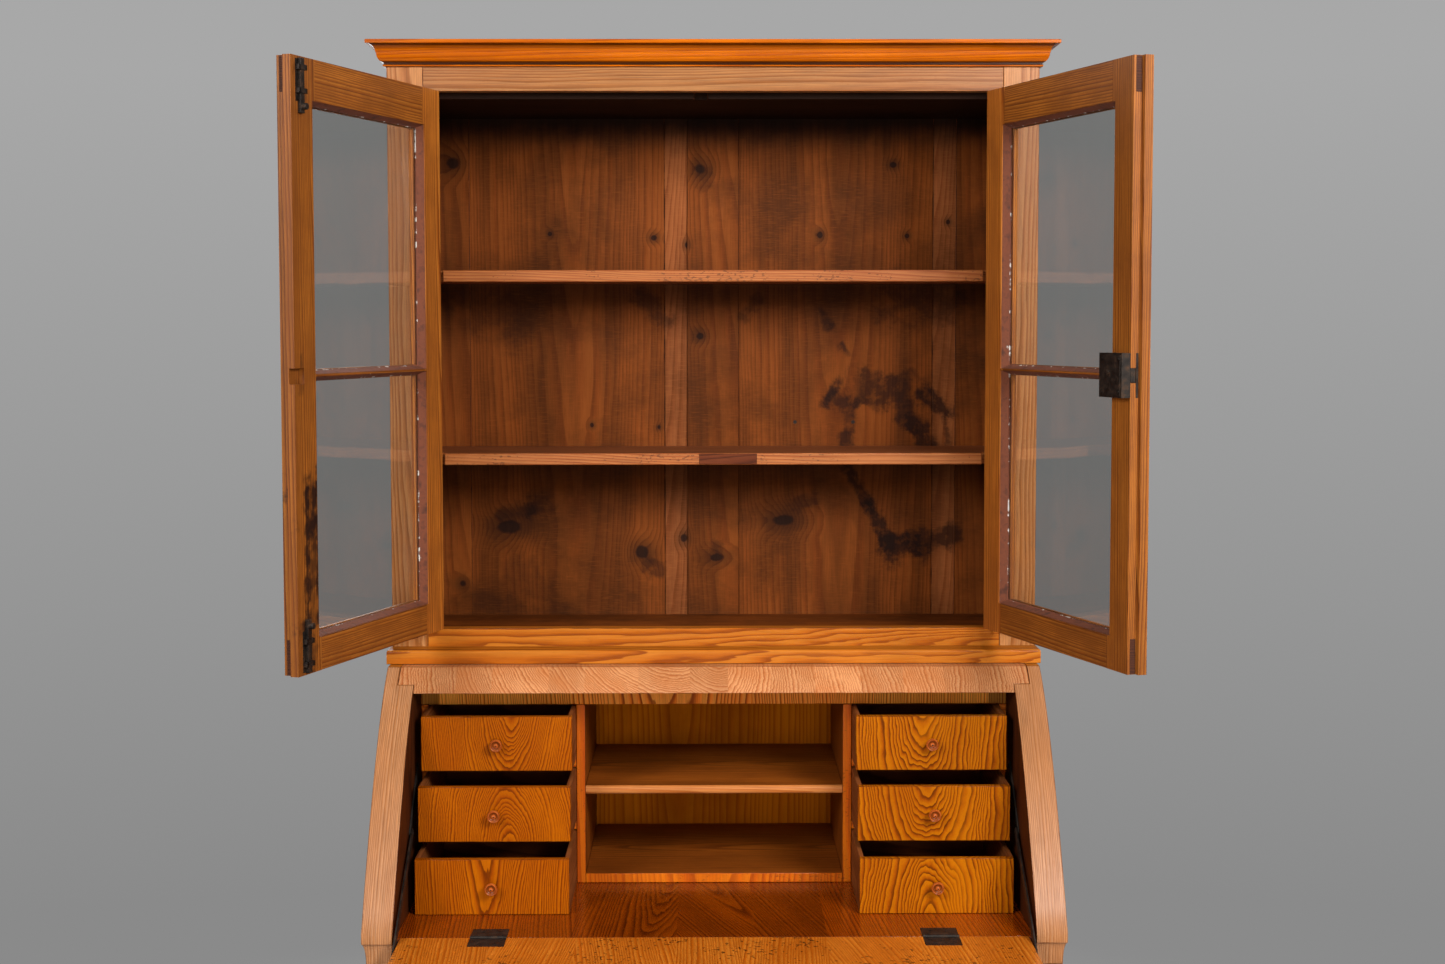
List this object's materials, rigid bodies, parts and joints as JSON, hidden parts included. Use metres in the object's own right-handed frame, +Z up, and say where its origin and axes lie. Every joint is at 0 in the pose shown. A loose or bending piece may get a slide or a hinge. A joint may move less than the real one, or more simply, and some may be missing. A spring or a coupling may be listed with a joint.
{
  "type": "slant front secretaire",
  "caption": "Tall writing desk: glazed bookcase over a sloping bureau whose hinged flap folds down to write on, with small drawers inside and long drawers below.",
  "frame": {"origin": "on the floor, at the middle of the footprint of the whole part as it stands with its doors and flap open", "axes": "+Z up; the front with the doors, flap and drawers faces -Y; +X is to the right of a person facing the front"},
  "size_m": [1.2075, 1.008, 2.13],
  "materials": {
    "elm": "satin",
    "elm_light": "satin",
    "glass": "old clear",
    "iron": "matt, rusted black",
    "pine": "matt, aged"
  },
  "bodies": {
    "carcase": {"bookcase_side_left": "elm", "bookcase_side_right": "elm", "bookcase_floor": "pine", "bookcase_head": "pine", "front_stile_left": "elm_light", "front_stile_right": "elm_light", "top_rail": "elm_light", "bottom_rail": "elm_light", "cornice": "elm_light", "waist_moulding": "elm_light", "bookcase_back": "pine", "shelf_upper": "pine", "shelf_lower": "pine", "left_hinge_lower": "iron", "left_hinge_upper": "iron", "right_hinge_lower": "iron", "right_hinge_upper": "iron", "bureau_side_left": "elm_light", "bureau_side_right": "elm_light", "bureau_top": "elm", "slant_rail": "elm_light", "writing_board": "elm", "bureau_back": "pine", "front_rail": "elm", "flap_hinge_left": "iron", "flap_hinge_right": "iron", "cabinet_top": "elm", "cabinet_floor": "elm", "cabinet_shelf": "elm", "cabinet_partition_left": "elm", "cabinet_partition_right": "elm", "cabinet_bay_left": "elm", "cabinet_bay_right": "elm", "chest_case": "elm", "bracket_base": "elm"},
    "left_door": {"left_door_frame": "elm", "left_pane_lower": "glass", "left_pane_upper": "glass"},
    "right_door": {"right_door_frame": "elm", "right_pane_lower": "glass", "right_pane_upper": "glass", "lock_case": "iron"},
    "upper_shoot_bolt": {"shoot_bolt_top": "iron"},
    "lower_shoot_bolt": {"shoot_bolt_bottom": "iron"},
    "key": {"door_key": "iron"},
    "lock_bolt": {"lock_bolt": "iron"},
    "flap": {"writing_flap": "elm"},
    "left_stay_upper": {"stay_upper_left": "iron"},
    "left_stay_lower": {"stay_lower_left": "iron"},
    "right_stay_upper": {"stay_upper_right": "iron"},
    "right_stay_lower": {"stay_lower_right": "iron"},
    "top_left_drawer": {"small_drawer_top_left": "elm"},
    "top_right_drawer": {"small_drawer_top_right": "elm"},
    "middle_left_drawer": {"small_drawer_middle_left": "elm"},
    "middle_right_drawer": {"small_drawer_middle_right": "elm"},
    "bottom_left_drawer": {"small_drawer_bottom_left": "elm"},
    "bottom_right_drawer": {"small_drawer_bottom_right": "elm"},
    "top_long_drawer": {"long_drawer_top": "elm"},
    "middle_long_drawer": {"long_drawer_middle": "elm"},
    "bottom_long_drawer": {"long_drawer_bottom": "elm"}
  },
  "joints": [
    {"name": "left_door_hinge", "type": "hinge", "parent": "carcase", "child": "left_door", "pos_m": [-0.461, 0.15, 1.623], "axis": [0, 0, -1], "range_deg": [-108, 65]},
    {"name": "right_door_hinge", "type": "hinge", "parent": "carcase", "child": "right_door", "pos_m": [0.461, 0.15, 1.623], "axis": [0, 0, 1], "range_deg": [-108, 65]},
    {"name": "upper_shoot_bolt_slide", "type": "slide", "parent": "left_door", "child": "upper_shoot_bolt", "axis": [0, 0, 1], "range_m": [0, 0.009]},
    {"name": "lower_shoot_bolt_slide", "type": "slide", "parent": "left_door", "child": "lower_shoot_bolt", "axis": [0, 0, -1], "range_m": [0, 0.009]},
    {"name": "key_turn", "type": "hinge", "parent": "right_door", "child": "key", "pos_m": [0.5911, -0.25039, 1.612], "axis": [0.9511, 0.309, 0], "range_deg": [0, 180]},
    {"name": "lock_bolt_slide", "type": "slide", "parent": "right_door", "child": "lock_bolt", "axis": [0.309, -0.9511, 0], "range_m": [0, 0.009]},
    {"name": "flap_hinge", "type": "hinge", "parent": "carcase", "child": "flap", "pos_m": [0, -0.129, 0.775], "axis": [1, 0, 0], "range_deg": [-123, 0]},
    {"name": "left_stay_top_pivot", "type": "hinge", "parent": "carcase", "child": "left_stay_upper", "pos_m": [-0.4724, 0.109, 0.978], "axis": [1, 0, 0], "range_deg": [0, 58.7]},
    {"name": "left_stay_knee", "type": "hinge", "parent": "left_stay_upper", "child": "left_stay_lower", "pos_m": [-0.4708, 0.01935, 0.89379], "axis": [1, 0, 0], "range_deg": [-84.9, 0]},
    {"name": "right_stay_top_pivot", "type": "hinge", "parent": "carcase", "child": "right_stay_upper", "pos_m": [0.4724, 0.109, 0.978], "axis": [1, 0, 0], "range_deg": [0, 58.7]},
    {"name": "right_stay_knee", "type": "hinge", "parent": "right_stay_upper", "child": "right_stay_lower", "pos_m": [0.4708, 0.01935, 0.89379], "axis": [1, 0, 0], "range_deg": [-84.9, 0]},
    {"name": "top_left_drawer_slide", "type": "slide", "parent": "carcase", "child": "top_left_drawer", "axis": [0, -1, 0], "range_m": [-0.092, 0.148]},
    {"name": "top_right_drawer_slide", "type": "slide", "parent": "carcase", "child": "top_right_drawer", "axis": [0, -1, 0], "range_m": [-0.092, 0.148]},
    {"name": "middle_left_drawer_slide", "type": "slide", "parent": "carcase", "child": "middle_left_drawer", "axis": [0, -1, 0], "range_m": [-0.133, 0.107]},
    {"name": "middle_right_drawer_slide", "type": "slide", "parent": "carcase", "child": "middle_right_drawer", "axis": [0, -1, 0], "range_m": [-0.133, 0.107]},
    {"name": "bottom_left_drawer_slide", "type": "slide", "parent": "carcase", "child": "bottom_left_drawer", "axis": [0, -1, 0], "range_m": [-0.176, 0.064]},
    {"name": "bottom_right_drawer_slide", "type": "slide", "parent": "carcase", "child": "bottom_right_drawer", "axis": [0, -1, 0], "range_m": [-0.176, 0.064]},
    {"name": "top_long_drawer_slide", "type": "slide", "parent": "carcase", "child": "top_long_drawer", "axis": [0, -1, 0], "range_m": [0, 0.4]},
    {"name": "middle_long_drawer_slide", "type": "slide", "parent": "carcase", "child": "middle_long_drawer", "axis": [0, -1, 0], "range_m": [0, 0.4]},
    {"name": "bottom_long_drawer_slide", "type": "slide", "parent": "carcase", "child": "bottom_long_drawer", "axis": [0, -1, 0], "range_m": [0, 0.4]}
  ],
  "couplings": [
    {"joint": "key_turn", "follows": "lock_bolt_slide", "rad_per_m": 349.06},
    {"joint": "left_stay_top_pivot", "follows": "flap_hinge", "ratio": -0.47413},
    {"joint": "left_stay_knee", "follows": "flap_hinge", "ratio": 0.68713},
    {"joint": "right_stay_top_pivot", "follows": "flap_hinge", "ratio": -0.47413},
    {"joint": "right_stay_knee", "follows": "flap_hinge", "ratio": 0.68713}
  ]
}
